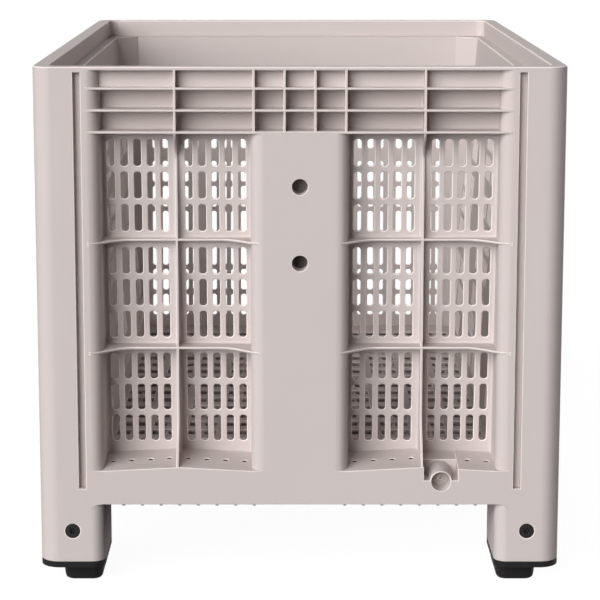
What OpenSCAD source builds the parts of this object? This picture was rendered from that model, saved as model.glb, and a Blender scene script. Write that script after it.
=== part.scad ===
// Ventilated pallet bin for picked fruit: a ribbed, slotted tub on four hollow corner legs,
// each closed below by a screwed-on foot. Millimetres, +Z up, long side along Y.
// Origin at the centre of the footprint on the ground. The drain is at the -Y end, the front.

/* [Overall] */
// Width of the bin, along X
bin_w = 800; // [760:1:1000]
// Length of the bin, along Y
bin_l = 1200; // [1140:1:1500]
// Height of the bin, ground to rim
bin_h = 800; // [740:1:1000]
// Radius of the outer upright corners
corner_r = 30; // [26:1:40]

/* [Rim] */
// Width of the flat rim top
rim_w = 23; // [20:0.5:28]
// Thickness of the flat rim top
rim_t = 5; // [4:0.5:8]
// Thickness of the upright lip inside the rim
lip_t = 4; // [3:0.5:6]
// Radius of the lip's inner corners
lip_r = 18; // [8:1:24]
// Width of the step at the foot of the lip
step_w = 17; // [12:0.5:24]

/* [Walls] */
// Thickness of the moulded skins
skin = 4; // [3:0.25:6]
// Thickness of the ribs
rib_t = 3.5; // [2.5:0.25:5]
// Distance of the tub's inner face from the outer face, at the floor
inner_low = 92; // [80:1:98]
// Height of each row of cells in the band below the rim
band_pitch = 32.7; // [28:0.1:40]
// Gap between the upright ribs of the band over a column
band_rib_gap = 46; // [36:1:52]
// Clear width of a window in a wall
window_w = 226; // [210:1:240]
// Height of one row of a window
row_pitch = 168.2; // [160:0.1:180]
// Radius of the rounded window sides
nose_r = 20; // [14:1:24]
// How far the ribs in a window lie behind the outer face
set_back = 40; // [30:1:44]
// Length over which a level rib sweeps forward to the window side
rib_sweep = 64; // [50:1:90]
// Height over which a mid rib sweeps forward below the band
top_sweep = 43; // [30:1:70]
// Height over which a mid rib sweeps forward above the sill
low_sweep = 74; // [50:1:110]
// Size of the fillets where the ribs meet the inner skin
fillet = 3; // [1:0.25:4]
// Width of the tub's inner corner facet below the rim
facet_top = 40; // [24:1:46]
// Width of the tub's inner corner facet at the floor
facet_low = 8; // [4:1:12]

/* [Vents] */
// Width of a wall slot
slot_w = 11.4; // [8:0.1:13]
// Height of a wall slot
slot_h = 41.8; // [30:0.1:44]
// Corner radius of a slot
slot_r = 3; // [2:0.1:4]
// Spacing of the slots along the wall
slot_pitch_x = 20.2; // [18:0.1:26]
// Spacing of the slots up the wall
slot_pitch_z = 50.5; // [48:0.1:56]
// Gap between the last slot and the window side
slot_side = 8; // [5:0.5:14]
// Gap between a row's upper rib and its first slot
slot_drop = 12.5; // [8:0.5:15]
// Diameter of a drip hole in the sill
drip_d = 8; // [5:0.5:12]
// Spacing of the drip holes and of the floor ribs
drip_pitch = 29.1; // [26:0.1:34]
// Distance of the drip holes from the outer face
drip_in = 44; // [30:1:60]
// Diameter of the two holes in each end column
column_hole_d = 24; // [12:1:32]
// Drop from the rim to the upper column hole
column_hole_drop = 180; // [150:1:220]
// Spacing of the two column holes
column_hole_pitch = 116; // [80:1:140]
// Length of the sleeve around a column hole
sleeve_l = 34; // [10:1:44]

/* [Base] */
// Height of the skirt's lower edge, over the fork opening
skirt_z = 129; // [115:1:135]
// Height of the window sill's front edge at its ends
sill_z = 182; // [176:1:190]
// Rise of the sill from its ends to the mid rib
sill_rise = 6; // [2:0.5:8]
// Rise of the sill from its front edge to the inner skin
sill_tilt = 8; // [3:0.5:12]
// Height of the floor's upper face
floor_z = 186; // [183:1:192]
// Thickness of the floor
deck_t = 4; // [3:0.25:6]
// Thickness of the floor ribs
floor_rib_t = 5; // [3:0.5:7]
// Height of the floor ribs' lower edges
floor_rib_low = 111; // [100:1:114]
// Distance of the long floor ribs' ends from the outer face
floor_rib_in = 56; // [54:1:80]
// Width of a floor slot, across the bin
floor_slot_w = 46; // [20:1:50]
// Length of a floor slot, along the bin
floor_slot_l = 32; // [20:1:40]
// Spacing of the floor slots along the bin, and half that of the cross ribs
floor_slot_pitch = 57; // [52:1:66]

/* [Corner posts and legs] */
// Width of a leg and of the post above it, across the bin
leg_w = 100; // [96:1:110]
// Length of a leg, along the bin
leg_l = 150; // [130:1:180]
// Wall thickness of the posts and legs
leg_t = 4.5; // [3.5:0.25:6]
// Radius of a leg's three inner corners
leg_r = 20; // [14:1:26]
// Height of a leg's lower end
leg_z = 38; // [34:1:44]
// Height of the run-out of a leg's rounded corner under the skirt
runout_h = 9; // [5:0.5:14]
// Distance of a groove from the corner
groove_in = 62; // [54:1:64]
// Width of a groove
groove_w = 11; // [6:0.5:12]
// Depth of a groove
groove_d = 12; // [6:0.5:14]
// Height of a groove's lower end
groove_z = 154; // [140:1:180]

/* [Feet] */
// Thickness of a foot's plate
foot_t = 9.6; // [7:0.2:12]
// Distance of a foot's sole from the bin's side
sole_side = 32; // [28:1:44]
// Distance of a foot's sole from the bin's end
sole_end = 25; // [24:1:44]
// Distance of a foot's sole from the leg's inner faces
sole_gap = 4; // [2:0.5:8]
// Corner radius of a foot's sole
sole_r = 18; // [12:1:22]
// Taper of a foot's sole on each side
sole_taper = 2.5; // [1:0.5:8]
// Height of the rounded edge under a foot's sole
sole_round = 7; // [3:0.5:10]
// Height of the plug that stands up inside the leg
plug_h = 72; // [66:1:78]
// Wall thickness of the plug
plug_t = 4; // [3:0.25:6]
// Clearance between the plug and the leg
plug_fit = 0.3; // [0.1:0.05:0.6]

/* [Foot screws] */
// Diameter of a foot screw's shank
screw_d = 12; // [8:0.5:14]
// Diameter of a foot screw's countersunk head
head_d = 23.7; // [20:0.1:28]
// Width across flats of the hexagon socket
socket_w = 9; // [6:0.5:10]
// Depth of the hexagon socket
socket_depth = 5; // [3:0.5:6]
// Length of a foot screw
screw_l = 38; // [36:1:46]
// Distance of a foot screw from the bin's side
screw_in = 51; // [44:1:56]
// Height of a foot screw
screw_z = 87; // [76:1:92]
// Width across flats of a foot nut
nut_w = 19; // [17:0.5:22]
// Thickness of a foot nut
nut_t = 10; // [6:0.5:12]
// Distance of a foot nut from the outer face
nut_in = 22; // [18:1:24]
// Clearance around the screws and nuts
screw_fit = 0.2; // [0.1:0.05:0.5]

/* [Drain] */
// Distance of the drain from the middle of the front
drain_x = 216.4; // [214:0.2:220]
// Height of the drain's axis
drain_z = 165; // [160:0.5:168]
// Radius of the drain's bore
drain_r = 14.7; // [10:0.1:16]
// Radius of the bore's closed end
drain_end_r = 12; // [9:0.1:14]
// Depth of the drain's bore
drain_depth = 29; // [24:1:44]
// Radius of the drain boss at its mouth
boss_r = 16.8; // [16.4:0.1:19]
// Radius of the drain boss at its root
boss_root_r = 21; // [20:0.5:23]
// Distance of the wall behind the boss from the outer face
boss_back = 48; // [46:1:50]
// Width of the trough over the boss
trough_w = 52; // [48:1:54]
// Height of the trough's lower end
trough_z = 167; // [164:0.5:170]
// Height of the lip over the boss's root
cove_z = 188; // [187:0.5:189]
// Height at which the trough's back runs into the wall
trough_top = 191.5; // [190:0.5:192]
// Radius of the ring on the bore's closed end
drain_ring_r = 5; // [3.5:0.1:8]
// Height of that ring
drain_ring_h = 3; // [1:0.5:6]

/* [Hidden] */

body_color = "#CEC3C0";
black_plastic = "#262424";
black_steel = "#2E2D2C";

// Segments in a quarter turn of a rounded corner, of a slot's corner, and in a sweep
arc_steps = 8;
slot_steps = 1;
sweep_steps = 8;
// Number of rows in the band, and of windows in an end wall and in a side wall
band_rows = 3;
end_windows = 2;
side_windows = 3;
// Overshoot of a cut past the face that it opens
over = 1;

// Heights that the rim, the step and the band give
rim_low = bin_h - rim_t;
step_low = bin_h - band_pitch - rib_t / 2;
step_top = step_low + rib_t;
band_low = bin_h - band_rows * band_pitch;
panel_low = sill_z - skin;
sill_peak = sill_z + sill_rise;
sill_fall = atan(sill_tilt / inner_low);
// Half the width of a window's ribs and sill, which end inside the columns' sides
window_reach = (window_w + skin) / 2;
window_rows = floor((band_low - sill_peak) / row_pitch);
slot_rows = floor((row_pitch - slot_drop - slot_h - 2 * rib_t) / slot_pitch_z) + 1;
slot_columns = floor((window_w / 2 - slot_side - slot_w - rib_t) / slot_pitch_x) + 1;
drip_edge = 6;
drips = floor((window_w - drip_d - 2 * drip_edge) / drip_pitch) + 1;

// Distances from the outer face that the rim and the draft of the inner face give
lip_in = rim_w - lip_t;
step_in = rim_w + step_w;
draft = atan((inner_low - step_in) / (step_low - floor_z));
skin_level = skin / cos(draft);
function inner_in(z) = inner_low + (step_in - inner_low) * (z - floor_z) / (step_low - floor_z);
function outer_in(z) = inner_in(z) - skin_level;
function facet_at(z) = facet_low + (facet_top - facet_low) * (z - floor_z) / (step_low - floor_z);
deep = inner_low + 2 * skin;

// Length of each wall between the posts, and where its windows and columns stand
end_len = bin_w - 2 * leg_w;
side_len = bin_l - 2 * leg_w;
function column_w(len, n) = (len - n * window_w) / (n - 1);
function window_xs(len, n) =
    [for (i = [0 : n - 1]) (window_w - len) / 2 + i * (window_w + column_w(len, n))];
function column_xs(len, n) =
    [for (i = [0 : n - 2]) window_w - len / 2 + column_w(len, n) / 2 + i * (window_w + column_w(len, n))];
function drip_xs(x) = [for (i = [0 : drips - 1]) x + (i - (drips - 1) / 2) * drip_pitch];

// A smooth step from 0 to 1, and how far back a level rib's front edge lies at a
// distance from the start of its sweep
function ease(t) = (1 - cos(180 * t)) / 2;
function sweep_in(d) = set_back * ease(min(d / rib_sweep, 1));

// Points of an arc, and of a box in plan with a radius for each of its corners
function arc(c, r, from, steps) =
    r > 0 ? [for (i = [0 : steps]) c + r * [cos(from + 90 * i / steps), sin(from + 90 * i / steps)]] : [c];
function round_quad(lo, hi, r, steps) = concat(
    arc([lo.x + r[0], lo.y + r[0]], r[0], 180, steps),
    arc([hi.x - r[1], lo.y + r[1]], r[1], 270, steps),
    arc([hi.x - r[2], hi.y - r[2]], r[2], 0, steps),
    arc([lo.x + r[3], hi.y - r[3]], r[3], 90, steps)
);
function less(r, d) = max(r - d, 0);
function inset_quad(lo, hi, r, d, steps) =
    round_quad(lo + [d, d], hi - [d, d], [for (x = r) less(x, d)], steps);

// A flat shape that has one outline and a hole of the same form at each of the places
module pierced(outline, hole, places) {
    n = len(outline);
    m = len(hole);
    polygon(
        concat(outline, [for (p = places) for (h = hole) p + h]),
        concat(
            [[for (i = [0 : n - 1]) i]],
            [for (k = [0 : len(places) - 1]) [for (i = [0 : m - 1]) n + k * m + i]]
        )
    );
}

// Extrudes a shape drawn in Y and Z along X about the middle
module along_x(length) {
    rotate([90, 0, 90]) linear_extrude(length, center = true) children();
}

// Extrudes a shape drawn in X and Z from the outer face inwards
module along_y(length) {
    translate([0, length, 0]) rotate([90, 0, 0]) linear_extrude(length) children();
}

// Places a wall, drawn with X along it and Y inwards from its outer face
module at_front() { translate([0, -bin_l / 2, 0]) children(); }
module at_rear() { rotate([0, 0, 180]) at_front() children(); }
module at_left() { translate([-bin_w / 2, 0, 0]) rotate([0, 0, -90]) children(); }
module at_right() { rotate([0, 0, 180]) at_left() children(); }

// Places a corner's pieces, drawn with X and Y inwards from the two outer faces
module at_corner(right, rear) {
    mirror([right, 0, 0]) mirror([0, rear, 0]) translate([-bin_w / 2, -bin_l / 2, 0]) children();
}

// The sloping inner skin behind one window of a wall, out to the middles of the columns
// beside it, with the window's groups of slots
module panel(length, n, which) {
    x = window_xs(length, n)[which];
    half_step = (window_w + column_w(length, n)) / 2;
    from = max(x - half_step, -length / 2);
    to = min(x + half_step, length / 2);
    height = (step_low - panel_low) / cos(draft) - skin * tan(draft);
    slot = round_quad(-[slot_w, slot_h] / 2, [slot_w, slot_h] / 2, slot_r * [1, 1, 1, 1], slot_steps);
    first_x = window_w / 2 - slot_side - slot_w / 2;
    first_z = band_low - rib_t / 2 - slot_drop - slot_h / 2;
    places = [
        for (side = [-1, 1], i = [0 : slot_columns - 1])
        for (row = [0 : window_rows - 1], j = [0 : slot_rows - 1])
        [
            x + side * (first_x - i * slot_pitch_x),
            (first_z - row * row_pitch - j * slot_pitch_z - panel_low) / cos(draft)
        ]
    ];
    outline = [[from, 0], [to, 0], [to, height], [from, height]];
    color(body_color) translate([0, outer_in(panel_low), panel_low])
        rotate([90 + draft, 0, 0])
            translate([0, 0, -skin]) linear_extrude(skin) pierced(outline, slot, places);
}

// Where the upright ribs of the band stand
function band_xs(length, n) = concat(
    window_xs(length, n),
    [for (x = column_xs(length, n), k = [-1.5 : 1.5]) x + k * band_rib_gap]
);

// Fillets on the outer face of the inner skin, along the ribs of the windows and the band.
// In the skin's own plane, X runs along the wall, Y up the slope and Z outwards.
module fillets(length, n) {
    half = fillet + rib_t / 2;
    section = [[-half - over, -over], [half + over, -over], [0, half]];
    function slope(z) = (z - panel_low) / cos(draft);
    translate([0, outer_in(panel_low), panel_low]) rotate([90 + draft, 0, 0]) {
        for (x = window_xs(length, n)) {
            for (row = [1 : window_rows - 1])
                translate([x, slope(band_low - row * row_pitch), 0])
                    along_x(2 * window_reach) polygon(section);
            for (side = [-1, 0, 1]) {
                low = sill_z + (1 - abs(side)) * sill_rise + sill_tilt - skin / 2;
                translate([x + side * (window_w + rib_t) / 2, slope(low), 0])
                    upright_strip(slope(band_low) - slope(low)) polygon(section);
            }
        }
        for (x = band_xs(length, n))
            translate([x, slope(band_low), 0])
                upright_strip(slope(step_low) - slope(band_low)) polygon(section);
        for (k = [2 : band_rows])
            translate([0, slope(bin_h - k * band_pitch), 0]) along_x(length) polygon(section);
    }
}

// Extrudes a shape drawn in X and Z along Y from the origin
module upright_strip(length) {
    translate([0, length, 0]) rotate([90, 0, 0]) linear_extrude(length) children();
}

// The ribbed band below the rim
module band(length, n) {
    translate([-length / 2, 0, step_low]) cube([length, lip_in, rib_t]);
    for (k = [2 : band_rows])
        translate([-length / 2, 0, bin_h - k * band_pitch - rib_t / 2]) cube([length, deep, rib_t]);
    for (x = band_xs(length, n)) {
        translate([x - rib_t / 2, 0, step_low]) cube([rib_t, lip_in, rim_low - step_low]);
        translate([x - rib_t / 2, 0, band_low]) cube([rib_t, deep, step_low - band_low]);
    }
}

// The hollow columns between the windows, with rounded sides
module columns(length, n) {
    w = column_w(length, n);
    lo = [-w / 2, 0];
    hi = [w / 2, deep];
    r = nose_r * [1, 1, 0, 0];
    for (x = column_xs(length, n))
        translate([x, 0, panel_low]) linear_extrude(band_low - panel_low)
            difference() {
                polygon(round_quad(lo, hi, r, arc_steps));
                translate([0, skin]) polygon(
                    round_quad(lo + [skin, 0], hi - [skin, 0], r - skin * [1, 1, 0, 0], arc_steps)
                );
            }
}

// Plan of a level rib across a window, whose front edge sweeps forward at both sides
module level_rib_plan() {
    half = window_w / 2 + nose_r;
    swept = [for (i = [0 : sweep_steps]) rib_sweep * i / sweep_steps];
    polygon(concat(
        [for (d = swept) [d - half, sweep_in(d)]],
        [for (i = [sweep_steps : -1 : 0]) [half - swept[i], sweep_in(swept[i])]],
        [[half, nose_r], [window_reach, nose_r], [window_reach, deep]],
        [[-window_reach, deep], [-window_reach, nose_r], [-half, nose_r]]
    ));
}

// Side view of a mid rib, whose front edge sweeps forward to the band and to the sill
module mid_rib_side() {
    foot = sill_peak - skin / 2;
    steps = [0 : sweep_steps];
    polygon(concat(
        [for (i = steps) [set_back * ease(i / sweep_steps), band_low - top_sweep * i / sweep_steps]],
        [
            for (i = steps)
            [set_back * ease(1 - i / sweep_steps), foot + low_sweep * (1 - i / sweep_steps)]
        ],
        [[deep, foot + deep * tan(sill_fall)], [deep, band_low]]
    ));
}

// The ribs that cross in each window
module window_ribs(length, n) {
    for (x = window_xs(length, n)) {
        for (row = [1 : window_rows - 1])
            translate([x, 0, band_low - row * row_pitch - rib_t / 2])
                linear_extrude(rib_t) level_rib_plan();
        translate([x, 0, 0]) along_x(rib_t) mid_rib_side();
    }
}

// The sill of the windows, which falls outwards and to both sides of each mid rib, and the
// skirt below it
module sill(length, n) {
    low = sill_peak - sill_rise * window_reach / (window_w / 2);
    top = [
        for (x = window_xs(length, n))
        each [[x - window_reach, low], [x, sill_peak], [x + window_reach, low]]
    ];
    last = len(top) - 1;
    translate([0, 0, sill_z]) rotate([sill_fall, 0, 0]) translate([0, -over, -sill_z])
        along_y(deep + over) polygon(concat(top, [for (i = [last : -1 : 0]) top[i] - [0, skin]]));
    along_y(skin) polygon(concat(top, [[length / 2, skirt_z], [-length / 2, skirt_z]]));
}

// What lies behind the outer face of a wall's inner skin
module behind_panel(length) {
    low = skirt_z - over;
    along_x(length + 2 * leg_w) polygon([
        [outer_in(low), low], [2 * deep, low], [2 * deep, bin_h], [outer_in(bin_h), bin_h]
    ]);
}

// What lies in front of a wall's outer face
module before_face(length) {
    translate([-length, -deep, 0]) cube([2 * length, deep, bin_h]);
}

// What lies beyond both ends of a wall
module beyond_ends(length) {
    for (side = [-1, 1])
        translate([side * (length / 2 + leg_w), deep, bin_h / 2])
            cube([2 * leg_w, 4 * deep, 2 * bin_h], center = true);
}

// Holes through the sill that let water out
module drip_holes(length, n, skip) {
    for (x = window_xs(length, n), drip_x = drip_xs(x))
        if (abs(drip_x - drain_x) > trough_w / 2 || !skip)
            translate([drip_x, drip_in, panel_low - over])
                cylinder(h = sill_peak + sill_tilt - panel_low + over, d = drip_d, $fn = 32);
}

// Places a shape at the two holes of an end wall's column, with Z inwards
module at_column_holes() {
    for (k = [0, 1])
        translate([0, 0, bin_h - column_hole_drop - k * column_hole_pitch]) rotate([-90, 0, 0]) children();
}

module column_sleeves() {
    at_column_holes() cylinder(h = sleeve_l, d = column_hole_d + 2 * skin, $fn = 64);
}

module column_holes() {
    at_column_holes() translate([0, 0, -over]) cylinder(h = sleeve_l + 2 * over, d = column_hole_d, $fn = 64);
}

// The open side of the trough, in Y and Z: its floor, the boss's back wall, and a cove up to the
// inner skin
function trough_line() =
    let (back = outer_in(trough_top))
    concat(
        [[0, trough_z], [boss_back, trough_z]],
        [
            for (i = [0 : sweep_steps])
            let (turn = 90 * i / sweep_steps)
            [boss_back + (back - boss_back) * sin(turn), trough_top - (trough_top - cove_z) * cos(turn)]
        ]
    );

// Height of the sill's front edge beside the drain
function sill_at(x) =
    let (mid = window_xs(end_len, end_windows)[end_windows - 1])
    sill_peak - sill_rise * abs(x - mid) / (window_w / 2);

// Floor, back and sides of the trough over the drain
module trough() {
    line = trough_line();
    under = [
        [deep, trough_top], [deep, panel_low], [boss_back + skin, panel_low],
        [boss_back + skin, trough_z - skin], [0, trough_z - skin]
    ];
    translate([drain_x, 0, 0]) along_x(trough_w + 2 * skin) polygon(concat(line, under));
    for (side = [-1, 1]) {
        x = drain_x + side * (trough_w + skin) / 2;
        top = sill_at(x) - skin / 2;
        translate([x, 0, 0]) along_x(skin) polygon([
            [0, trough_z - skin], [boss_back + skin, trough_z - skin],
            [boss_back + skin, top + boss_back * tan(sill_fall)], [0, top]
        ]);
    }
}

// What the trough takes out of the sill and the skirt
module trough_space() {
    translate([drain_x, 0, 0]) along_x(trough_w) polygon(concat(
        [[-over, trough_top], [-over, trough_z]], trough_line()
    ));
}

// Turns a shape about the drain's axis, with Z inwards from the outer face
module on_drain() {
    translate([drain_x, 0, drain_z]) rotate([-90, 0, 0]) children();
}

module drain_boss() {
    on_drain() cylinder(h = boss_back + skin / 2, r1 = boss_r, r2 = boss_root_r, $fn = 96);
}

module drain_bore() {
    on_drain() difference() {
        cylinder(h = drain_depth, r1 = drain_r, r2 = drain_end_r, $fn = 96);
        translate([0, 0, drain_depth - drain_ring_h]) difference() {
            cylinder(h = drain_ring_h + over, r = drain_ring_r, $fn = 48);
            translate([0, 0, -over]) cylinder(h = drain_ring_h + over, r = drain_ring_r / 2, $fn = 32);
        }
    }
}

// The ribbed outside of a wall: band, columns, window ribs, sill and skirt
module wall(length, n, holes = false, drain = false) {
    color(body_color) difference() {
        union() {
            difference() {
                union() {
                    band(length, n);
                    columns(length, n);
                    window_ribs(length, n);
                    sill(length, n);
                    fillets(length, n);
                    if (holes) column_sleeves();
                    if (drain) trough();
                }
                behind_panel(length);
                before_face(length);
                beyond_ends(length);
                drip_holes(length, n, drain);
                if (holes) column_holes();
                if (drain) trough_space();
            }
            if (drain) drain_boss();
        }
        if (drain) drain_bore();
    }
}

module end_wall(drain = false) { wall(end_len, end_windows, true, drain); }
module side_wall() { wall(side_len, side_windows); }
module end_panel(which) { panel(end_len, end_windows, which); }
module side_panel(which) { panel(side_len, side_windows, which); }

// Half the floor's size between the walls' inner faces, and where its ribs and slots lie
floor_gap = 0.2;
floor_half = [bin_w / 2, bin_l / 2] - (inner_in(floor_z - deck_t) + floor_gap) * [1, 1];
floor_xs = drip_xs(window_xs(end_len, end_windows)[end_windows - 1]);
floor_slot_xs = [for (i = [0 : 2 : drips - 2]) (floor_xs[i] + floor_xs[i + 1]) / 2];

// The slotted floor
module floor_deck() {
    cut = facet_low + skin;
    outline = [
        for (k = [[-1, -1, 0], [1, -1, 1], [1, 1, 0], [-1, 1, 1]], end = [k[2], 1 - k[2]])
        [k.x * (floor_half.x - cut * end), k.y * (floor_half.y - cut * (1 - end))]
    ];
    slot_size = [floor_slot_w, floor_slot_l];
    slot = round_quad(-slot_size / 2, slot_size / 2, slot_r * [1, 1, 1, 1], slot_steps);
    rows = floor((floor_half.y - cut - floor_slot_l / 2) / floor_slot_pitch);
    row_ys = [for (i = [0 : rows - 1], side = [-1, 1]) side * (i + 0.5) * floor_slot_pitch];
    places = [for (x = floor_slot_xs, side = [-1, 1], y = row_ys) [side * x, y]];
    color(body_color) translate([0, 0, floor_z - deck_t])
        linear_extrude(deck_t) pierced(outline, slot, places);
}

// The crossing ribs under the floor, the short ones carried by the side skirts
module floor_ribs() {
    half_l = bin_l / 2 - floor_rib_in;
    cross_ribs = floor((bin_l / 2 - leg_l - drip_pitch) / (2 * floor_slot_pitch));
    color(body_color) {
        for (x = floor_xs, side = [-1, 1])
            translate([side * (x - drip_pitch / 2), 0, 0])
                along_x(floor_rib_t) floor_rib_side(half_l, half_l, floor_half.y);
        for (k = [-cross_ribs : cross_ribs])
            translate([0, k * 2 * floor_slot_pitch, 0]) rotate([0, 0, 90])
                along_x(floor_rib_t) floor_rib_side(bin_w / 2 - skin, bin_w / 2 - floor_rib_in, floor_half.x);
    }
}

// Side view of a floor rib: its half length at the top, at the bottom and under the deck
module floor_rib_side(half_top, half_low, half_deck) {
    low = half_top > half_low ? skirt_z : floor_rib_low;
    top = panel_low - over;
    deck = floor_z - deck_t;
    polygon([
        [-half_low, floor_rib_low], [half_low, floor_rib_low], [half_top, low], [half_top, top],
        [half_deck, top], [half_deck, deck], [-half_deck, deck],
        [-half_deck, top], [-half_top, top], [-half_top, low]
    ]);
}

// Plan of a post at the windows, at the skirt, and of a leg, drawn in from the two outer faces
post_size = [leg_w, leg_w];
leg_size = [leg_w, leg_l];
post_radii = [corner_r, nose_r, 0, nose_r];
base_radii = [corner_r, 0, 0, 0];
leg_radii = [corner_r, leg_r, leg_r, leg_r];

module upright(size, radii, inset, from, to) {
    translate([0, 0, from]) linear_extrude(to - from)
        polygon(inset_quad([0, 0], size, radii, inset, arc_steps));
}

// The tub's inside at a corner, moved out by a margin: two drafted faces and the facet between them
module corner_inside(margin, from, to) {
    far = 2 * leg_w;
    function section(z) =
        let (
            a = inner_in(z) - margin / cos(draft),
            b = a + facet_at(z) + (2 - sqrt(2)) * margin
        )
        [[a, b, z], [b, a, z], [far, a, z], [far, far, z], [a, far, z]];
    polyhedron(
        concat(section(from), section(to)),
        [
            [0, 1, 2, 3, 4], [9, 8, 7, 6, 5],
            [0, 5, 6, 1], [1, 6, 7, 2], [2, 7, 8, 3], [3, 8, 9, 4], [4, 9, 5, 0]
        ]
    );
}

// Repeats a shape on a corner's other face
module both_faces() {
    children();
    mirror([1, -1, 0]) children();
}

// The end of a level rib on a post's rounded window side
module rib_end(swept) {
    start = leg_w - nose_r;
    front = [for (i = [0 : sweep_steps]) nose_r * i / sweep_steps];
    polygon(concat(
        [for (d = front) [start + d, swept ? sweep_in(d) : 0]],
        [[leg_w, nose_r], [start, nose_r]]
    ));
}

module rib_ends() {
    for (k = [1 : band_rows])
        translate([0, 0, bin_h - k * band_pitch - rib_t / 2]) linear_extrude(rib_t) rib_end(false);
    for (row = [1 : window_rows - 1])
        translate([0, 0, band_low - row * row_pitch - rib_t / 2]) linear_extrude(rib_t) rib_end(true);
}

// A groove down a post's face, and the channel that the post's wall forms around it
module groove(wall_t, from, to) {
    translate([groove_in - wall_t, -over, from])
        cube([groove_w + 2 * wall_t, groove_d + wall_t + over, to - from]);
}

// The run-out that fills the top of a leg's rounded corner under the skirt
module runout(span) {
    curve = [
        for (i = [0 : arc_steps])
        let (turn = 90 * i / arc_steps)
        [span - leg_r * cos(turn), skirt_z - runout_h + runout_h * sin(turn)]
    ];
    along_y(leg_r) polygon(concat(curve, [[span - leg_r, skirt_z]]));
}

// A corner of the tub: hollow post, with the leg that it stands on
module corner_post() {
    difference() {
        union() {
            upright(post_size, post_radii, 0, sill_z - skin, rim_low);
            upright(post_size, base_radii, 0, skirt_z, sill_z);
            upright(leg_size, leg_radii, 0, leg_z, skirt_z);
            both_faces() rib_ends();
            runout(leg_w);
            mirror([1, -1, 0]) runout(leg_l);
        }
        corner_inside(0, floor_z, step_low);
        translate([lip_in, lip_in]) upright(leg_size, [lip_r + lip_t, 0, 0, 0], 0, step_low, bin_h);
        difference() {
            union() {
                upright(post_size, post_radii, leg_t, sill_z - skin - over, bin_h);
                upright(post_size, base_radii, leg_t, skirt_z, sill_z - skin);
                upright(post_size, leg_radii, leg_t, skirt_z - skin - over, skirt_z + over);
                upright(leg_size, leg_radii, leg_t, leg_z - over, skirt_z - skin);
            }
            corner_inside(skin, panel_low, step_low);
            both_faces() groove(leg_t, groove_z - leg_t, bin_h);
        }
        both_faces() groove(0, groove_z, rim_low - rib_t);
        screw_hole(screw_fit);
    }
    translate([0, 0, step_low]) linear_extrude(rib_t)
        polygon([[step_in, step_in], [step_in + facet_top, step_in], [step_in, step_in + facet_top]]);
}

module corner(right, rear) {
    color(body_color) at_corner(right, rear) corner_post();
}

// Turns a shape about a foot screw's axis, with Z inwards from the outer face
module on_screw() {
    translate([screw_in, 0, screw_z]) rotate([-90, 0, 0]) children();
}

// A countersunk hole for a foot screw
module screw_hole(fit) {
    cone = (head_d - screw_d) / 2;
    on_screw() {
        translate([0, 0, -over])
            cylinder(h = cone + over, r1 = head_d / 2 + over + fit, r2 = screw_d / 2 + fit, $fn = 64);
        translate([0, 0, -over]) cylinder(h = screw_l + 2 * over, r = screw_d / 2 + fit, $fn = 64);
    }
}

module foot_screw(right, rear) {
    cone = (head_d - screw_d) / 2;
    color(black_steel) at_corner(right, rear) on_screw() difference() {
        union() {
            cylinder(h = cone, d1 = head_d, d2 = screw_d, $fn = 64);
            cylinder(h = screw_l, d = screw_d, $fn = 64);
        }
        translate([0, 0, -over])
            cylinder(h = socket_depth + over, d = socket_w / cos(30), $fn = 6);
    }
}

module foot_nut(right, rear) {
    color(black_steel) at_corner(right, rear) on_screw() translate([0, 0, nut_in]) difference() {
        cylinder(h = nut_t, d = nut_w / cos(30), $fn = 6);
        translate([0, 0, -over]) cylinder(h = nut_t + 2 * over, d = screw_d + screw_fit, $fn = 64);
    }
}

// The rounded, tapering sole of a foot, as thin layers from its top to the ground
module sole() {
    lo = [sole_side, sole_end];
    hi = leg_size - sole_gap * [1, 1];
    layer_t = 0.01;
    layers = concat([[leg_z - foot_t, 0]], [
        for (turn = [0 : 30 : 90])
        [sole_round * (1 - sin(turn)), sole_taper + sole_round * (1 - cos(turn))]
    ]);
    hull() for (layer = layers)
        translate([0, 0, layer[0]]) linear_extrude(layer_t)
            polygon(inset_quad(lo, hi, sole_r * [1, 1, 1, 1], layer[1], arc_steps / 2));
}

// A foot: plate under the leg, sole below it, and a plug with a nut pocket inside the leg
module foot(right, rear) {
    inset = leg_t + plug_fit;
    top = leg_z + plug_h;
    pocket_w = nut_w / cos(30) + 2 * screw_fit;
    block_w = pocket_w + 2 * plug_t;
    block_end = nut_in + nut_t + screw_fit + plug_t;
    color(black_plastic) at_corner(right, rear) difference() {
        union() {
            upright(leg_size, leg_radii, 0, leg_z - foot_t, leg_z);
            upright(leg_size, leg_radii, inset, leg_z - over, top);
            sole();
        }
        difference() {
            upright(leg_size, leg_radii, inset + plug_t, leg_z, top + over);
            translate([screw_in - block_w / 2, 0, leg_z - over]) cube([block_w, block_end, plug_h + over]);
        }
        screw_hole(screw_fit);
        translate([screw_in - pocket_w / 2, nut_in - screw_fit, screw_z - nut_w / 2 - screw_fit])
            cube([pocket_w, nut_t + 2 * screw_fit, top]);
    }
}

// Plan of a frame inside the bin's outline, between two distances from the outer face, each
// with its corner radius
module frame_plan(from, to) {
    size = [bin_w, bin_l] / 2;
    all = [1, 1, 1, 1];
    difference() {
        polygon(round_quad(from[0] * [1, 1] - size, size - from[0] * [1, 1], from[1] * all, arc_steps));
        polygon(round_quad(to[0] * [1, 1] - size, size - to[0] * [1, 1], to[1] * all, arc_steps));
    }
}

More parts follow.
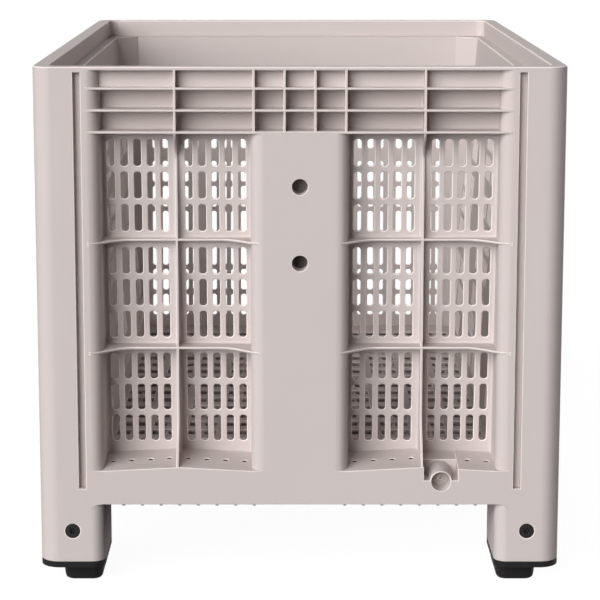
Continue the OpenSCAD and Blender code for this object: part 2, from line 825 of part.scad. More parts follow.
// The rim along one side of the bin: flat top, lip and step, mitred at the corners
module rim(length, half_depth) {
    far = step_in + corner_r;
    side = [
        [-length / 2, -half_depth], [length / 2, -half_depth],
        [length / 2 - far, far - half_depth], [far - length / 2, far - half_depth]
    ];
    turn = length == bin_w ? 0 : 90;
    outer = [0, corner_r];
    lip_outer = [lip_in, lip_r + lip_t];
    lip_inner = [rim_w, lip_r];
    color(body_color) {
        translate([0, 0, rim_low]) linear_extrude(rim_t) rim_plan(side, turn, outer, lip_inner);
        translate([0, 0, step_low]) linear_extrude(rim_low - step_low) rim_plan(side, turn, lip_outer, lip_inner);
        translate([0, 0, step_low]) linear_extrude(rib_t) rim_plan(side, turn, lip_outer, [step_in, 0]);
    }
}

module rim_plan(side, turn, from, to) {
    intersection() {
        polygon(side);
        rotate(turn) frame_plan(from, to);
    }
}

module end_rim() { rim(bin_w, bin_l / 2); }
module side_rim() { rotate([0, 0, -90]) rim(bin_l, bin_w / 2); }

at_front() end_wall(drain = true);  // front_wall
at_rear() end_wall();  // rear_wall
at_left() side_wall();  // left_wall
at_right() side_wall();  // right_wall
at_front() end_panel(0);  // front_panel_left
at_front() end_panel(1);  // front_panel_right
at_rear() end_panel(1);  // rear_panel_left
at_rear() end_panel(0);  // rear_panel_right
at_left() side_panel(2);  // left_panel_front
at_left() side_panel(1);  // left_panel_middle
at_left() side_panel(0);  // left_panel_rear
at_right() side_panel(0);  // right_panel_front
at_right() side_panel(1);  // right_panel_middle
at_right() side_panel(2);  // right_panel_rear
floor_deck();
floor_ribs();
corner(0, 0);  // corner_front_left
corner(1, 0);  // corner_front_right
corner(0, 1);  // corner_rear_left
corner(1, 1);  // corner_rear_right
end_rim();  // rim_front
rotate([0, 0, 180]) end_rim();  // rim_rear
side_rim();  // rim_left
rotate([0, 0, 180]) side_rim();  // rim_right
foot(0, 0);  // foot_front_left
foot(1, 0);  // foot_front_right
foot(0, 1);  // foot_rear_left
foot(1, 1);  // foot_rear_right
foot_screw(0, 0);  // foot_screw_front_left
foot_screw(1, 0);  // foot_screw_front_right
foot_screw(0, 1);  // foot_screw_rear_left
foot_screw(1, 1);  // foot_screw_rear_right
foot_nut(0, 0);  // foot_nut_front_left
foot_nut(1, 0);  // foot_nut_front_right
foot_nut(0, 1);  // foot_nut_rear_left
foot_nut(1, 1);  // foot_nut_rear_right
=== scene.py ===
"""Looks of a ventilated fruit bin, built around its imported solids.

The tub is one moulding, so its parts get rounded edges everywhere except where two of them
meet, and one dull grey plastic all over. The feet are black plastic, held by black steel screws.
"""

import math

import bmesh
import bpy
from bpy.props import FloatProperty, FloatVectorProperty, IntProperty, PointerProperty
from bpy.types import Operator, Panel, PropertyGroup
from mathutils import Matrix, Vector
from mathutils.bvhtree import BVHTree


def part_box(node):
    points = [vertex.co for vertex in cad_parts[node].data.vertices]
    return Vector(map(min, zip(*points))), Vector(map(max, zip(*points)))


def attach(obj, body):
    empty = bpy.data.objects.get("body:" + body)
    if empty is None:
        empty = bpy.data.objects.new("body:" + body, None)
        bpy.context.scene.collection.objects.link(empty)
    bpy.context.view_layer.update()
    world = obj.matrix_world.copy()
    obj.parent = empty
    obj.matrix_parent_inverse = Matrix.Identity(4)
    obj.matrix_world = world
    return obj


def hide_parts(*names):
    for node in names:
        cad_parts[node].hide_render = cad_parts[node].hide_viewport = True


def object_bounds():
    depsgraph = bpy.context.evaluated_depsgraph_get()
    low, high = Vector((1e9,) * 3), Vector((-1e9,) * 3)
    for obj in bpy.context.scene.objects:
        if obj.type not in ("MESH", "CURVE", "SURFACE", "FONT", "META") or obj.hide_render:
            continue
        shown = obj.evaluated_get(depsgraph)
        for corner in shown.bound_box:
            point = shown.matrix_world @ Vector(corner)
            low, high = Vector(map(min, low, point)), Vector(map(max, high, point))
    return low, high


bl_info = {
    "name": "Fruit bin",
    "version": (1, 0, 0),
    "blender": (4, 5, 0),
    "location": "3D View > Sidebar > Fruit bin",
    "description": "Rounds and finishes the parts of a ventilated fruit bin and sets its studio",
    "category": "Object",
}

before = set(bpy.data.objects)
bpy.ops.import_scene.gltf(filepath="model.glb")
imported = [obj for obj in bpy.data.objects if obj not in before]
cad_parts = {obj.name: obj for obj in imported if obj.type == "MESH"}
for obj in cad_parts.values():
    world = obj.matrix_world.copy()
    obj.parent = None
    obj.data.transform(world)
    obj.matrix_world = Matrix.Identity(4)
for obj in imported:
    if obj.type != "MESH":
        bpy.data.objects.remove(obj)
CAD_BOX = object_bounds()

CORNERS = ("front_left", "front_right", "rear_left", "rear_right")
DRAINED_WALL = "front_wall"
WALLS = (DRAINED_WALL, "rear_wall", "left_wall", "right_wall")
PANELS = tuple(n for n in sorted(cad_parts) if "_panel_" in n)
DECK = "floor_deck"
DECK_RIBS = "floor_ribs"
POSTS = tuple("corner_" + c for c in CORNERS)
RIMS = ("rim_front", "rim_rear", "rim_left", "rim_right")
TUB = WALLS + PANELS + (DECK, DECK_RIBS) + POSTS + RIMS
FEET = tuple("foot_" + c for c in CORNERS)
SCREWS = tuple("foot_screw_" + c for c in CORNERS)
NUTS = tuple("foot_nut_" + c for c in CORNERS)

# Side of the picture in pixels, and width of the camera's sensor in millimetres
IMAGE_PX = 600
SENSOR = 36.0

# Corners of a solid closer than this are one corner, in metres
MERGE_DIST = 1e-5
# Faces that turn less than this towards each other are one flat face
FLAT_ANGLE = math.radians(0.3)
# An edge that turns more than this is rounded
SHARP_ANGLE = math.radians(28)
# Shading runs smoothly over edges that turn less than this
SMOOTH_ANGLE = math.radians(40)
# How far beside an edge a neighbouring part is felt for, in metres
FEEL_DIST = 5e-5
# A point further than this from a solid's surface isn't felt, in metres
FEEL_REACH = 4 * FEEL_DIST
# Where along an edge a neighbour is felt for, as shares of its length
FEEL_AT = (0.25, 0.5, 0.75)
# The same for the rim, whose long lower edges lie on the posts near their ends only
RIM_FEEL_AT = (0.05, 0.25, 0.5, 0.75, 0.95)
# Attribute that is 1 on the rounded edges of a piece, where a highlight is painted, and below 0 on
# the walls of the drip holes, where shade is painted
PAINTED_LIGHT = "painted_light"
# Value of that attribute on the walls of the drip holes, where it paints shade into them
DRIP_SHADE = -1.8
# Radius of the drip holes and their distance from the outer face, in metres
DRIP_RADIUS = 0.004
DRIP_INSET = 0.044
# The walls of the drip holes lie between these heights, in metres
DRIP_LOW, DRIP_HIGH = 0.15, 0.25
# How closely a face has to point at a drip hole's axis, in metres
DRIP_SLACK = 2e-4
# The walls of the drip holes are narrower than this, in metres
DRIP_FACET = 1e-3
# Rounded edges whose faces point further down than this get no painted highlight
HIGHLIGHT_TILT = -0.2
# The legs run out into the skirt between these heights, where no edge gets a painted highlight, in
# metres
RUN_OUT_LOW, RUN_OUT_HIGH = 0.115, 0.131
# Corners of the room over the drain's trough, which is open up to the slotted panel, in metres
TROUGH_ROOM = ((0.1904, -0.61, 0.1914), (0.2424, -0.5, 0.201))
# Steps across the rounded rim of a slot
SLOT_SEGMENTS = 1

# Size and fineness of the clouds in a moulded surface, and how far they change its dullness
CLOUD_SCALE = 5.0
CLOUD_DETAIL = 4.0
CLOUD_DULLNESS = 0.12
# Middle value of a noise texture
NOISE_MIDDLE = 0.5
# Fineness of the grain of a moulded surface, and how strongly it shows
GRAIN_DETAIL = 2.0
GRAIN_STRENGTH = 0.25
# How much of the blackened steel shines as bare metal
STEEL_SHINE = 0.4

# Grey and dullness of the studio floor, and the share of white that it is seen with
FLOOR_GREY = 0.1
FLOOR_ROUGHNESS = 0.9
FLOOR_WHITE = 0.955
# Sides from which the two far lights shine
KEY_PLACE = (-2.6, -3.9, 1.6)
BACK_PLACE = (0.5, 4.0, 0.4)
# Where the light panel stands, what it shines on, and its width and height, in metres
SIDE_PLACE = (2.8, 1.3, 0.42)
SIDE_TARGET = (0.4, 0.0, 0.4)
SIDE_SIZE = (1.8, 0.6)


class FruitBinTub(PropertyGroup):
    """Sizes and finish of the moulded tub"""

    colour: FloatVectorProperty(
        name="Plastic colour",
        description="Colour of the moulded tub",
        subtype="COLOR",
        size=3,
        min=0,
        max=1,
        default=(0.585, 0.522, 0.505),
    )
    roughness: FloatProperty(
        name="Roughness",
        description="How dull the moulded surface is",
        subtype="FACTOR",
        min=0,
        max=1,
        default=0.75,
    )
    gloss: FloatProperty(
        name="Gloss",
        description="How much of the room the moulded surface mirrors",
        subtype="FACTOR",
        min=0,
        max=1,
        default=0.012,
    )
    # Strength of the highlight painted on the rounded edges, which also scales the shade painted
    # in the drip holes
    painted_light_strength: FloatProperty(
        name="Painted highlight and shade",
        description="How much paler the rounded edges are than the faces beside them",
        subtype="FACTOR",
        min=0,
        max=1,
        default=0.5,
    )
    edge_radius: FloatProperty(
        name="Edge radius",
        description="Rounding of the ribs, columns and posts",
        unit="LENGTH",
        min=0,
        default=0.001,
    )
    rim_radius: FloatProperty(
        name="Rim radius",
        description="Rounding of the edges of the rim",
        unit="LENGTH",
        min=0,
        default=0.0018,
    )
    slot_radius: FloatProperty(
        name="Slot edge radius",
        description="Rounding of the rims of the slots",
        unit="LENGTH",
        min=0,
        default=0.001,
    )
    segments: IntProperty(
        name="Segments",
        description="Steps across a rounded edge",
        min=1,
        max=4,
        default=2,
    )


class FruitBinFeet(PropertyGroup):
    """Sizes and finish of the feet and their fasteners"""

    colour: FloatVectorProperty(
        name="Foot colour",
        description="Colour of the black plastic feet",
        subtype="COLOR",
        size=3,
        min=0,
        max=1,
        default=(0.012, 0.011, 0.011),
    )
    steel_colour: FloatVectorProperty(
        name="Steel colour",
        description="Colour of the blackened screws and nuts",
        subtype="COLOR",
        size=3,
        min=0,
        max=1,
        default=(0.016, 0.015, 0.015),
    )
    edge_radius: FloatProperty(
        name="Foot edge radius",
        description="Rounding of the edges of the feet",
        unit="LENGTH",
        min=0,
        default=0.0012,
    )
    steel_radius: FloatProperty(
        name="Steel edge radius",
        description="Rounding of the edges of the screws and nuts",
        unit="LENGTH",
        min=0,
        default=0.0006,
    )
    segments: IntProperty(
        name="Segments",
        description="Steps across a rounded edge",
        min=1,
        max=4,
        default=2,
    )


class FruitBinStudio(PropertyGroup):
    """Camera, lamps and backdrop"""

    camera_place: FloatVectorProperty(
        name="Camera place",
        description="Where the camera stands",
        subtype="TRANSLATION",
        size=3,
        default=(-0.0169, -3.8029, 1.0545),
    )
    camera_pitch: FloatProperty(
        name="Camera pitch",
        description="How far the camera looks down",
        subtype="ANGLE",
        default=0.1707,
    )
    focal_px: FloatProperty(
        name="Focal length in pixels",
        description="Focal length as a length in the picture",
        min=1,
        default=2159.8,
    )
    camera_shift: FloatVectorProperty(
        name="Camera shift",
        description="Shift of the picture beside the camera's axis",
        size=2,
        default=(0.0189, -0.0587),
    )
    sky_strength: FloatProperty(
        name="Room light",
        description="Strength of the even light from all around",
        min=0,
        default=0.075,
    )
    key_strength: FloatProperty(
        name="Key light",
        description="Strength of the soft light from the left, in front of the bin",
        min=0,
        default=4.3,
    )
    back_strength: FloatProperty(
        name="Back light",
        description="Strength of the soft light from behind the bin",
        min=0,
        default=2.4,
    )
    side_power: FloatProperty(
        name="Side light",
        description="Power of the light panel on the right of the bin, lower than its rim",
        unit="POWER",
        min=0,
        default=36.0,
    )
    light_angle: FloatProperty(
        name="Light angle",
        description="How wide each light is as seen from the bin",
        subtype="ANGLE",
        min=0,
        default=math.radians(56),
    )
    floor_size: FloatProperty(
        name="Floor size",
        description="Side of the square of floor",
        unit="LENGTH",
        min=0,
        default=60.0,
    )


def solid_tree(node):
    """A search tree over the surface of a solid."""
    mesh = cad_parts[node].data
    return BVHTree.FromPolygons([v.co for v in mesh.vertices], [p.vertices for p in mesh.polygons])


def is_inside(tree, point):
    """Whether a point close to a solid's surface lies inside that solid."""
    near, normal, _, _ = tree.find_nearest(point, FEEL_REACH)
    return near is not None and (point - near).dot(normal) < 0


def meets_neighbour(edge, trees, feel_at):
    """Whether another part fills the room beside a solid's edge, so that the edge isn't seen."""
    a, b = (v.co for v in edge.verts)
    normals = [f.normal for f in edge.link_faces]
    for share in feel_at:
        point = a.lerp(b, share)
        for out, level in (normals, reversed(normals)):
            beside = point + FEEL_DIST * out - FEEL_DIST * level
            if any(is_inside(tree, beside) for tree in trees):
                return True
    return False


def is_sharp(edge):
    """Whether two faces of a solid meet in a sharp edge."""
    return len(edge.link_faces) == 2 and edge.calc_face_angle(0) > SHARP_ANGLE


def is_drip_wall(face):
    """Whether a face belongs to the round wall of a drip hole."""
    centre = face.calc_center_median()
    if abs(face.normal.z) > FLAT_ANGLE or not DRIP_LOW < centre.z < DRIP_HIGH:
        return False
    axis = centre + DRIP_RADIUS * face.normal
    inset = min(CAD_BOX[1][i] - abs(axis[i]) for i in range(2))
    narrow = min(edge.calc_length() for edge in face.edges) < DRIP_FACET
    return narrow and abs(inset - DRIP_INSET) < DRIP_SLACK


def round_edges(bm, edges, radius, segments):
    """Rounds edges of a mesh, and marks the rounded faces for a painted highlight, apart from
    those that face down or lie on a leg's run-out. The walls of drip holes are marked for painted
    shade."""
    painted_mask = bm.faces.layers.float.new(PAINTED_LIGHT)
    # Painted shade: the walls of the drip holes get a value that darkens their colour
    for face in bm.faces:
        if is_drip_wall(face):
            face[painted_mask] = DRIP_SHADE
    rounded = bmesh.ops.bevel(
        bm,
        geom=edges,
        offset=radius,
        offset_type="OFFSET",
        segments=segments,
        profile=0.5,
        affect="EDGES",
        clamp_overlap=False,
        loop_slide=False,
        material=-1,
        face_strength_mode="ALL",
    )["faces"]
    bm.normal_update()
    # Painted highlight on the rounded faces that don't face down or lie on a leg's run-out
    for face in rounded:
        on_run_out = RUN_OUT_LOW < face.calc_center_median().z < RUN_OUT_HIGH
        face[painted_mask] = face.normal.z > HIGHLIGHT_TILT and not on_run_out
    bmesh.ops.dissolve_degenerate(bm, dist=MERGE_DIST, edges=bm.edges)


def shade_smoothly(bm):
    """Lets the shading of a mesh run over its rounded edges and break at its sharp ones."""
    bm.normal_update()
    for face in bm.faces:
        face.smooth = True
    for edge in bm.edges:
        edge.smooth = len(edge.link_faces) == 2 and edge.calc_face_angle(0) < SMOOTH_ANGLE


def neighbour_trees(node, trees):
    """The search trees of the parts whose boxes touch this one's."""
    low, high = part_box(node)
    room = Vector((FEEL_DIST,) * 3)
    found = []
    for other, tree in trees.items():
        other_low, other_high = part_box(other)
        apart = any(
            other_low[i] > (high + room)[i] or other_high[i] < (low - room)[i] for i in range(3)
        )
        if other != node and not apart:
            found.append(tree)
    return found


def cut_away(bm, low, high):
    """Takes a box out of a closed mesh."""
    block = bmesh.new()
    bmesh.ops.create_cube(block, size=1)
    bmesh.ops.scale(block, vec=Vector(high) - Vector(low), verts=block.verts)
    bmesh.ops.translate(block, vec=(Vector(low) + Vector(high)) / 2, verts=block.verts)
    pieces = []
    for name, shape in (("cut_body", bm), ("cut_block", block)):
        mesh = bpy.data.meshes.new(name)
        shape.to_mesh(mesh)
        pieces.append(bpy.data.objects.new(name, mesh))
        bpy.context.scene.collection.objects.link(pieces[-1])
    block.free()
    body, cutter = pieces
    cut = body.modifiers.new("cut", "BOOLEAN")
    cut.operation = "DIFFERENCE"
    cut.solver = "EXACT"
    cut.object = cutter
    scene_state = bpy.context.evaluated_depsgraph_get()
    result = bpy.data.meshes.new_from_object(body.evaluated_get(scene_state))
    bm.clear()
    bm.from_mesh(result)
    for mesh in (result, *(piece.data for piece in pieces)):
        bpy.data.meshes.remove(mesh)


def rounded_part(
    node, name, radius, segments, trees, material, room=None, feel_at=FEEL_AT
):
    """Puts a part with rounded edges in the place of a solid. A room that is given is cleared of
    the part first."""
    bm = bmesh.new()
    bm.from_mesh(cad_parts[node].data)
    bmesh.ops.remove_doubles(bm, verts=bm.verts, dist=MERGE_DIST)
    if room:
        cut_away(bm, *room)
    bmesh.ops.dissolve_limit(bm, angle_limit=FLAT_ANGLE, verts=bm.verts, edges=bm.edges)
    bm.normal_update()
    near = neighbour_trees(node, trees)
    outer = [e for e in bm.edges if is_sharp(e) and e.is_convex]
    free = [e for e in outer if not meets_neighbour(e, near, feel_at)]
    round_edges(bm, free, radius, segments)
    shade_smoothly(bm)
    mesh = bpy.data.meshes.new(name)
    bm.to_mesh(mesh)
    bm.free()
    mesh.materials.clear()
    mesh.materials.append(material)
    part = bpy.data.objects.new(name, mesh)
    bpy.context.scene.collection.objects.link(part)
    even = part.modifiers.new("even_shading", "WEIGHTED_NORMAL")
    even.keep_sharp = True
    even.use_face_influence = True
    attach(part, "root")
    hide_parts(node)


def link(tree, output, target):
    """Joins two sockets of a node tree."""
    tree.links.new(output, target)


def moulded_surface():
    """The shared look of a moulded surface: faint clouds, a painted highlight that makes rounded
    edges paler, painted shade where the attribute is below 0 (the drip holes), and a fine grain.
    """
    name = "moulded_surface"
    if name in bpy.data.node_groups:
        return bpy.data.node_groups[name]
    group = bpy.data.node_groups.new(name, "ShaderNodeTree")
    sockets = group.interface
    sockets.new_socket("Colour", in_out="INPUT", socket_type="NodeSocketColor")
    sockets.new_socket("Cloudiness", in_out="INPUT", socket_type="NodeSocketFloat")
    sockets.new_socket("Roughness", in_out="INPUT", socket_type="NodeSocketFloat")
    sockets.new_socket("Worn", in_out="INPUT", socket_type="NodeSocketFloat")
    sockets.new_socket("Wear", in_out="INPUT", socket_type="NodeSocketFloat")
    sockets.new_socket("Grain scale", in_out="INPUT", socket_type="NodeSocketFloat")
    sockets.new_socket("Colour", in_out="OUTPUT", socket_type="NodeSocketColor")
    sockets.new_socket("Roughness", in_out="OUTPUT", socket_type="NodeSocketFloat")
    sockets.new_socket("Height", in_out="OUTPUT", socket_type="NodeSocketFloat")

    nodes = group.nodes
    given = nodes.new("NodeGroupInput")
    result = nodes.new("NodeGroupOutput")
    place = nodes.new("ShaderNodeTexCoord")

    clouds = nodes.new("ShaderNodeTexNoise")
    clouds.inputs["Scale"].default_value = CLOUD_SCALE
    clouds.inputs["Detail"].default_value = CLOUD_DETAIL
    link(group, place.outputs["Object"], clouds.inputs["Vector"])
    spread = nodes.new("ShaderNodeMath")
    spread.operation = "SUBTRACT"
    spread.inputs[1].default_value = NOISE_MIDDLE
    link(group, clouds.outputs["Fac"], spread.inputs[0])
    # Colour factor: above 1 where a highlight is painted on the rounded edges, below 1 where shade
    # is painted in the drip holes
    painted_light_factor = nodes.new("ShaderNodeMath")
    painted_light_factor.operation = "MULTIPLY_ADD"
    painted_light_factor.inputs[2].default_value = 1.0
    link(group, given.outputs["Worn"], painted_light_factor.inputs[0])
    link(group, given.outputs["Wear"], painted_light_factor.inputs[1])
    strength = nodes.new("ShaderNodeMath")
    strength.operation = "MULTIPLY_ADD"
    link(group, spread.outputs[0], strength.inputs[0])
    link(group, given.outputs["Cloudiness"], strength.inputs[1])
    link(group, painted_light_factor.outputs[0], strength.inputs[2])
    tint = nodes.new("ShaderNodeVectorMath")
    tint.operation = "SCALE"
    link(group, given.outputs["Colour"], tint.inputs[0])
    link(group, strength.outputs[0], tint.inputs["Scale"])
    link(group, tint.outputs[0], result.inputs["Colour"])

    dull = nodes.new("ShaderNodeMath")
    dull.operation = "MULTIPLY_ADD"
    dull.inputs[1].default_value = CLOUD_DULLNESS
    link(group, spread.outputs[0], dull.inputs[0])
    link(group, given.outputs["Roughness"], dull.inputs[2])
    link(group, dull.outputs[0], result.inputs["Roughness"])

    grain = nodes.new("ShaderNodeTexNoise")
    grain.inputs["Detail"].default_value = GRAIN_DETAIL
    link(group, place.outputs["Object"], grain.inputs["Vector"])
    link(group, given.outputs["Grain scale"], grain.inputs["Scale"])
    link(group, grain.outputs["Fac"], result.inputs["Height"])
    return group


def moulded_material(name, colour, roughness, gloss, cloudiness, painted_light_strength, grain_scale, grain_depth):
    """A moulded plastic with its own colour, dullness, painted edge highlight and grain."""
    if name in bpy.data.materials:
        return bpy.data.materials[name]
    material = bpy.data.materials.new(name)
    material.use_nodes = True
    tree = material.node_tree
    shader = tree.nodes["Principled BSDF"]
    shader.inputs["Specular IOR Level"].default_value = gloss
    surface = tree.nodes.new("ShaderNodeGroup")
    surface.node_tree = moulded_surface()
    surface.inputs["Colour"].default_value = (*colour, 1)
    surface.inputs["Cloudiness"].default_value = cloudiness
    surface.inputs["Roughness"].default_value = roughness
    surface.inputs["Wear"].default_value = painted_light_strength
    surface.inputs["Grain scale"].default_value = grain_scale
    # Where the edge highlight and the drip-hole shade are painted
    painted_mask = tree.nodes.new("ShaderNodeAttribute")
    painted_mask.attribute_name = PAINTED_LIGHT
    link(tree, painted_mask.outputs["Fac"], surface.inputs["Worn"])
    bump = tree.nodes.new("ShaderNodeBump")
    bump.inputs["Strength"].default_value = GRAIN_STRENGTH
    bump.inputs["Distance"].default_value = grain_depth
    link(tree, surface.outputs["Colour"], shader.inputs["Base Color"])
    link(tree, surface.outputs["Roughness"], shader.inputs["Roughness"])
    link(tree, surface.outputs["Height"], bump.inputs["Height"])
    link(tree, bump.outputs["Normal"], shader.inputs["Normal"])
    return material


def tub_plastic(context):
    """The warm grey plastic of the tub."""
    tub = context.scene.fruit_bin_tub
    return moulded_material(
        "satin_grey_plastic",
        tub.colour,
        tub.roughness,
        tub.gloss,
        cloudiness=0.05,
        painted_light_strength=tub.painted_light_strength,
        grain_scale=700.0,
        grain_depth=0.0004,
    )


def foot_plastic(context):
    """The matte black plastic of the feet."""
    return moulded_material(
        "matte_black_plastic",
        context.scene.fruit_bin_feet.colour,
        roughness=0.65,
        gloss=0.12,
        cloudiness=0.3,
        # Strength of the highlight painted on the rounded edges
        painted_light_strength=1.0,
        grain_scale=900.0,
        grain_depth=0.0005,
    )


def blackened_steel(context):
    """The blackened steel of the screws and nuts."""
    material = moulded_material(
        "blackened_steel",
        context.scene.fruit_bin_feet.steel_colour,
        roughness=0.45,
        gloss=0.2,
        cloudiness=0.5,
        # Strength of the highlight painted on the rounded edges
        painted_light_strength=0.8,
        grain_scale=1500.0,
        grain_depth=0.0002,
    )
    shader = material.node_tree.nodes["Principled BSDF"]
    shader.inputs["Metallic"].default_value = STEEL_SHINE
    return material


def make_tub_parts(context, nodes, radius, segments, feel_at=FEEL_AT):
    """Rounds a group of parts of the tub against all its other parts."""
    trees = {n: solid_tree(n) for n in TUB}
    for node in nodes:
        rounded_part(
            node,
            "moulded_" + node,
            radius,
            segments,
            trees,
            tub_plastic(context),
            TROUGH_ROOM if node == DRAINED_WALL else None,
            feel_at,
        )


class FRUITBIN_OT_walls(Operator):
    """Make the ribbed wall frames"""

    bl_idname = "fruit_bin.walls"
    bl_label = "Wall frames"

    def execute(self, context):
        tub = context.scene.fruit_bin_tub
        make_tub_parts(context, WALLS, tub.edge_radius, tub.segments)
        return {"FINISHED"}


class FRUITBIN_OT_panels(Operator):
    """Make the slotted panels behind the windows of the walls"""

    bl_idname = "fruit_bin.panels"
    bl_label = "Slotted panels"

    def execute(self, context):
        tub = context.scene.fruit_bin_tub
        make_tub_parts(context, PANELS, tub.slot_radius, SLOT_SEGMENTS)
        return {"FINISHED"}


class FRUITBIN_OT_floor(Operator):
    """Make the slotted floor and the ribs under it"""

    bl_idname = "fruit_bin.floor"
    bl_label = "Floor"

    def execute(self, context):
        tub = context.scene.fruit_bin_tub
        make_tub_parts(context, [DECK], tub.slot_radius, SLOT_SEGMENTS)
        make_tub_parts(context, [DECK_RIBS], tub.edge_radius, tub.segments)
        return {"FINISHED"}


class FRUITBIN_OT_posts(Operator):
    """Make the corner posts with their legs"""

    bl_idname = "fruit_bin.posts"
    bl_label = "Corner posts"

    def execute(self, context):
        tub = context.scene.fruit_bin_tub
        make_tub_parts(context, POSTS, tub.edge_radius, tub.segments)
        return {"FINISHED"}


class FRUITBIN_OT_rims(Operator):
    """Make the four sides of the rim"""

    bl_idname = "fruit_bin.rims"
    bl_label = "Rim"

    def execute(self, context):
        tub = context.scene.fruit_bin_tub
        make_tub_parts(context, RIMS, tub.rim_radius, tub.segments, RIM_FEEL_AT)
        return {"FINISHED"}


class FRUITBIN_OT_feet(Operator):
    """Make the black feet under the legs"""

    bl_idname = "fruit_bin.feet"
    bl_label = "Feet"

    def execute(self, context):
        feet = context.scene.fruit_bin_feet
        for node in FEET:
            rounded_part(
                node,
                "moulded_" + node,
                feet.edge_radius,
                feet.segments,
                {},
                foot_plastic(context),
            )
        return {"FINISHED"}


class FRUITBIN_OT_fasteners(Operator):
    """Make the screws and nuts that hold the feet"""

    bl_idname = "fruit_bin.fasteners"
    bl_label = "Screws and nuts"

    def execute(self, context):
        feet = context.scene.fruit_bin_feet
        for node in SCREWS + NUTS:
            rounded_part(
                node,
                "steel_" + node,
                feet.steel_radius,
                feet.segments,
                {},
                blackened_steel(context),
            )
        return {"FINISHED"}


def seen_directly(tree):
    """A mask that is 1 where the camera, a reflection or clear plastic shows a surface."""
    rays = tree.nodes.new("ShaderNodeLightPath")
    glossy = tree.nodes.new("ShaderNodeMath")
    glossy.operation = "MAXIMUM"
    link(tree, rays.outputs["Is Camera Ray"], glossy.inputs[0])
    link(tree, rays.outputs["Is Glossy Ray"], glossy.inputs[1])
    clear = tree.nodes.new("ShaderNodeMath")
    clear.operation = "MAXIMUM"
    link(tree, glossy.outputs[0], clear.inputs[0])
    link(tree, rays.outputs["Is Transmission Ray"], clear.inputs[1])
    return clear.outputs[0]


def white_room(strength):
    """Even light from all around, seen as plain white."""
    world = bpy.data.worlds.new("white_room")
    world.use_nodes = True
    tree = world.node_tree
    light = tree.nodes["Background"]
    light.inputs["Color"].default_value = (1, 1, 1, 1)
    light.inputs["Strength"].default_value = strength
    white = tree.nodes.new("ShaderNodeBackground")
    white.inputs["Color"].default_value = (1, 1, 1, 1)
    white.inputs["Strength"].default_value = 1
    mix = tree.nodes.new("ShaderNodeMixShader")
    link(tree, seen_directly(tree), mix.inputs["Fac"])
    link(tree, light.outputs[0], mix.inputs[1])
    link(tree, white.outputs[0], mix.inputs[2])
    link(tree, mix.outputs[0], tree.nodes["World Output"].inputs["Surface"])
    return world


def white_floor():
    """A pale floor that melts into the white room and keeps a soft shadow."""
    material = bpy.data.materials.new("white_floor")
    material.use_nodes = True
    tree = material.node_tree
    shader = tree.nodes["Principled BSDF"]
    shader.inputs["Base Color"].default_value = (FLOOR_GREY, FLOOR_GREY, FLOOR_GREY, 1)
    shader.inputs["Roughness"].default_value = FLOOR_ROUGHNESS
    shader.inputs["Specular IOR Level"].default_value = 0.0
    share = tree.nodes.new("ShaderNodeMath")
    share.operation = "MULTIPLY"
    share.inputs[1].default_value = FLOOR_WHITE
    link(tree, seen_directly(tree), share.inputs[0])
    glow = tree.nodes.new("ShaderNodeEmission")
    link(tree, share.outputs[0], glow.inputs["Strength"])
    both = tree.nodes.new("ShaderNodeAddShader")
    link(tree, shader.outputs[0], both.inputs[0])
    link(tree, glow.outputs[0], both.inputs[1])
    link(tree, both.outputs[0], tree.nodes["Material Output"].inputs["Surface"])
    return material


def soft_light(name, strength, angle, place):
    """An even, far and wide light that shines on the bin from the side of a place."""
    data = bpy.data.lights.new(name, "SUN")
    data.energy = strength
    data.angle = angle
    lamp = bpy.data.objects.new(name, data)
    lamp.location = place
    lamp.rotation_euler = (-Vector(place)).to_track_quat("-Z", "Y").to_euler()
    bpy.context.scene.collection.objects.link(lamp)


def panel_light(name, power, place, target, size):
    """A soft light panel that stands at a place and shines on a target."""
    data = bpy.data.lights.new(name, "AREA")
    data.shape = "RECTANGLE"
    data.energy = power
    data.size, data.size_y = size
    lamp = bpy.data.objects.new(name, data)
    lamp.location = place
    lamp.rotation_euler = (Vector(target) - Vector(place)).to_track_quat("-Z", "Y").to_euler()
    lamp.visible_camera = False
    bpy.context.scene.collection.objects.link(lamp)


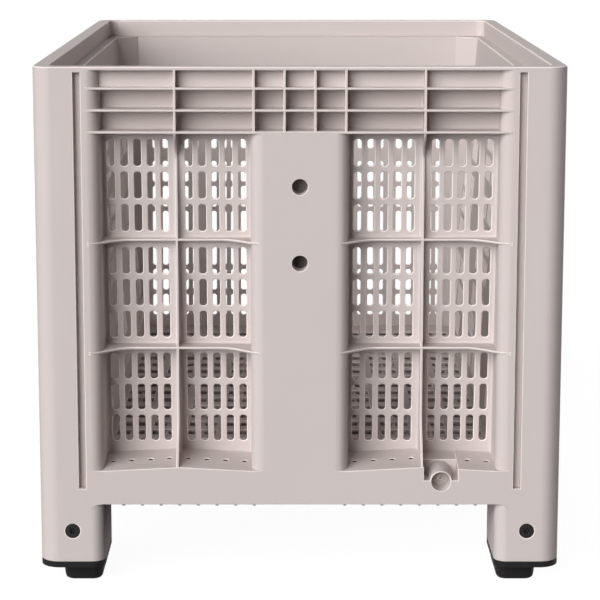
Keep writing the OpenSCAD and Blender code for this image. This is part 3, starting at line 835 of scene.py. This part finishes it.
class FRUITBIN_OT_stage(Operator):
    """Set the floor, the lamps and the camera"""

    bl_idname = "fruit_bin.stage"
    bl_label = "Studio"

    def execute(self, context):
        scene = context.scene
        studio = scene.fruit_bin_studio
        scene.view_settings.view_transform = "Standard"
        scene.world = white_room(studio.sky_strength)

        bm = bmesh.new()
        bmesh.ops.create_grid(bm, x_segments=1, y_segments=1, size=studio.floor_size / 2)
        mesh = bpy.data.meshes.new("studio_floor")
        bm.to_mesh(mesh)
        bm.free()
        mesh.materials.append(white_floor())
        floor = bpy.data.objects.new("studio_floor", mesh)
        scene.collection.objects.link(floor)

        soft_light("key_light", studio.key_strength, studio.light_angle, KEY_PLACE)
        soft_light("back_light", studio.back_strength, studio.light_angle, BACK_PLACE)
        panel_light("side_light", studio.side_power, SIDE_PLACE, SIDE_TARGET, SIDE_SIZE)

        data = bpy.data.cameras.new("photo_camera")
        data.sensor_width = SENSOR
        data.lens = studio.focal_px * SENSOR / IMAGE_PX
        data.shift_x, data.shift_y = studio.camera_shift
        camera = bpy.data.objects.new("photo_camera", data)
        camera.location = studio.camera_place
        camera.rotation_euler = (math.pi / 2 - studio.camera_pitch, 0, 0)
        scene.collection.objects.link(camera)
        scene.camera = camera
        return {"FINISHED"}


OPERATORS = (
    FRUITBIN_OT_walls,
    FRUITBIN_OT_panels,
    FRUITBIN_OT_floor,
    FRUITBIN_OT_posts,
    FRUITBIN_OT_rims,
    FRUITBIN_OT_feet,
    FRUITBIN_OT_fasteners,
    FRUITBIN_OT_stage,
)


class FRUITBIN_PT_sidebar(Panel):
    """Lists the bin's pieces and its studio"""

    bl_idname = "FRUITBIN_PT_sidebar"
    bl_label = "Fruit bin"
    bl_space_type = "VIEW_3D"
    bl_region_type = "UI"
    bl_category = "Fruit bin"

    def draw(self, context):
        for settings in (
            context.scene.fruit_bin_tub,
            context.scene.fruit_bin_feet,
            context.scene.fruit_bin_studio,
        ):
            box = self.layout.box()
            for name in settings.bl_rna.properties.keys():
                if name not in ("rna_type", "name"):
                    box.prop(settings, name)
        for operator in OPERATORS:
            self.layout.operator(operator.bl_idname)


CLASSES = (FruitBinTub, FruitBinFeet, FruitBinStudio, *OPERATORS, FRUITBIN_PT_sidebar)


def register():
    for cls in CLASSES:
        bpy.utils.register_class(cls)
    bpy.types.Scene.fruit_bin_tub = PointerProperty(type=FruitBinTub)
    bpy.types.Scene.fruit_bin_feet = PointerProperty(type=FruitBinFeet)
    bpy.types.Scene.fruit_bin_studio = PointerProperty(type=FruitBinStudio)


def unregister():
    del bpy.types.Scene.fruit_bin_studio
    del bpy.types.Scene.fruit_bin_feet
    del bpy.types.Scene.fruit_bin_tub
    for cls in reversed(CLASSES):
        bpy.utils.unregister_class(cls)


def main():
    register()
    bpy.ops.fruit_bin.walls()
    bpy.ops.fruit_bin.panels()
    bpy.ops.fruit_bin.floor()
    bpy.ops.fruit_bin.posts()
    bpy.ops.fruit_bin.rims()
    bpy.ops.fruit_bin.feet()
    bpy.ops.fruit_bin.fasteners()
    bpy.ops.fruit_bin.stage()


if __name__ == "__main__":
    main()
